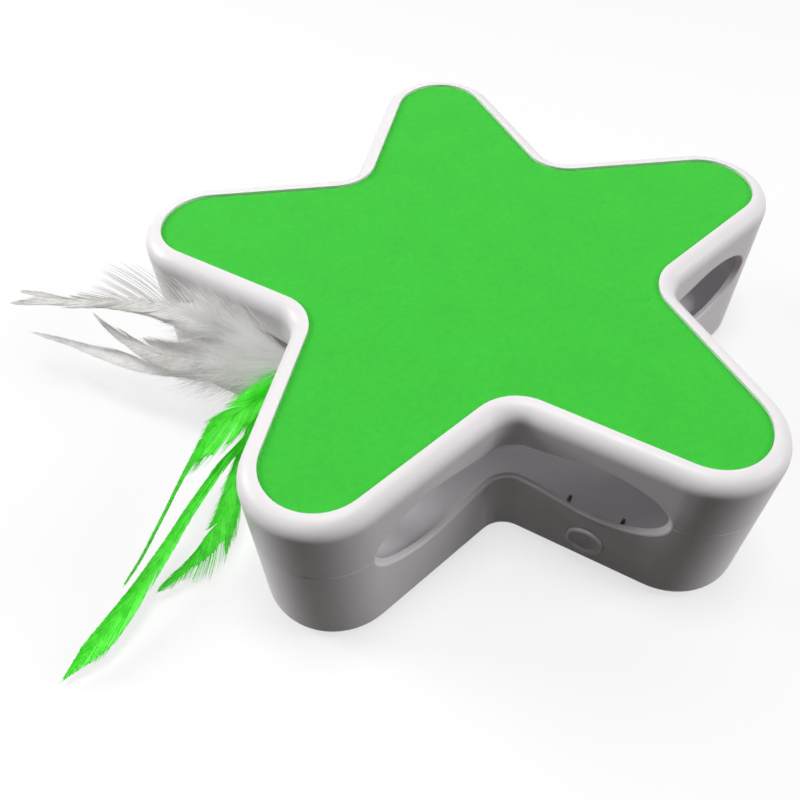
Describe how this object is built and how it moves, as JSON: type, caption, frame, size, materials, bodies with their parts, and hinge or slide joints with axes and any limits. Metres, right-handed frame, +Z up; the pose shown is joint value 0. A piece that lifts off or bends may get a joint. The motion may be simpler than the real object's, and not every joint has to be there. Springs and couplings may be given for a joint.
{
  "type": "electric turntable cat toy",
  "caption": "Star-shaped electric cat toy: white shell with wide windows round its notches, green felt top, power button, and a turntable inside that sweeps a plume of feathers.",
  "frame": {"origin": "the star's centre on the plane that the rubber pads stand on", "axes": "+Z up along the turntable's axis; +Y from the centre to one tip of the star, over the battery door; the power button is on the right-hand wall of the notch that faces -Y"},
  "size_m": [0.3006, 0.237, 0.0677],
  "materials": {
    "white_shell": "satin",
    "white_inner": "matt",
    "grey_inner": "matt",
    "green_felt": "short felt",
    "grey_rubber": "matt",
    "screw_steel": "bright zinc",
    "motor_steel": "satin",
    "gear_plastic": "natural",
    "bush_brass": "turned",
    "cell_metal": "plain printed jacket without words",
    "contact_metal": "nickel plated",
    "board_green": "satin",
    "switch_black": "matt",
    "lead_red": "satin",
    "lead_black": "satin",
    "lead_blue": "satin",
    "white_plume": "feather, grey towards some tips",
    "green_plume": "dyed feather"
  },
  "bodies": {
    "housing": {"lower_shell": "white_shell", "upper_shell": "white_shell", "green_sheet": "green_felt", "rubber_pads": "grey_rubber", "shell_screws": "screw_steel", "deck_plate": "white_inner", "gearbox_tray": "grey_inner", "motor_can": "motor_steel", "wheel_pins": "screw_steel", "motor_screws": "screw_steel", "inner_screws": "screw_steel", "deck_bush": "bush_brass", "battery_box": "white_inner", "batteries": "cell_metal", "contact_plates": "contact_metal", "contact_springs": "contact_metal", "switch_board": "board_green", "tact_switch": "switch_black", "switch_bracket": "white_inner", "lead_battery_motor": "lead_red", "lead_battery_switch": "lead_black", "lead_switch_motor": "lead_blue"},
    "feather_turntable": {"turntable": "white_inner", "output_shaft": "screw_steel", "output_wheel": "gear_plastic", "hub_screw": "screw_steel", "wand_plug": "white_inner", "wand_wire": "screw_steel", "feather_ferrule": "white_inner", "white_feather_1": "white_plume", "white_feather_2": "white_plume", "white_feather_3": "white_plume", "white_feather_4": "white_plume", "green_feather_1": "green_plume", "green_feather_2": "green_plume", "green_feather_3": "green_plume", "green_feather_4": "green_plume"},
    "wheel_b": {"double_wheel_b": "gear_plastic"},
    "wheel_a": {"double_wheel_a": "gear_plastic"},
    "rotor": {"motor_shaft": "screw_steel", "motor_pinion": "gear_plastic"},
    "button": {"power_button": "white_shell"},
    "door": {"battery_door": "white_shell"}
  },
  "joints": [
    {"name": "turntable_spin", "type": "hinge", "parent": "housing", "child": "feather_turntable", "pos_m": [0, 0, 0], "axis": [0, 0, 1], "continuous": true, "deforming": ["white_feather_1", "white_feather_2", "white_feather_3", "white_feather_4", "green_feather_1", "green_feather_2", "green_feather_3", "green_feather_4"]},
    {"name": "wheel_b_spin", "type": "hinge", "parent": "housing", "child": "wheel_b", "pos_m": [-0.01466, -0.00534, 0], "axis": [0, 0, 1], "continuous": true},
    {"name": "wheel_a_spin", "type": "hinge", "parent": "housing", "child": "wheel_a", "pos_m": [-0.02703, -0.014, 0], "axis": [0, 0, 1], "continuous": true},
    {"name": "rotor_spin", "type": "hinge", "parent": "housing", "child": "rotor", "pos_m": [-0.02821, -0.02754, 0], "axis": [0, 0, 1], "continuous": true},
    {"name": "power_button_press", "type": "slide", "parent": "housing", "child": "button", "axis": [0.5878, 0.809, 0], "range_m": [0, 0.0008], "stiffness_N_per_m": 250},
    {"name": "battery_door_tilt", "type": "hinge", "parent": "housing", "child": "door", "pos_m": [0, 0.0725, 0.0026], "axis": [1, 0, 0], "range_deg": [0, 90]}
  ],
  "couplings": [
    {"joint": "wheel_b_spin", "follows": "turntable_spin", "ratio": -4.1667},
    {"joint": "wheel_a_spin", "follows": "turntable_spin", "ratio": 16.667},
    {"joint": "rotor_spin", "follows": "turntable_spin", "ratio": -58.333}
  ]
}
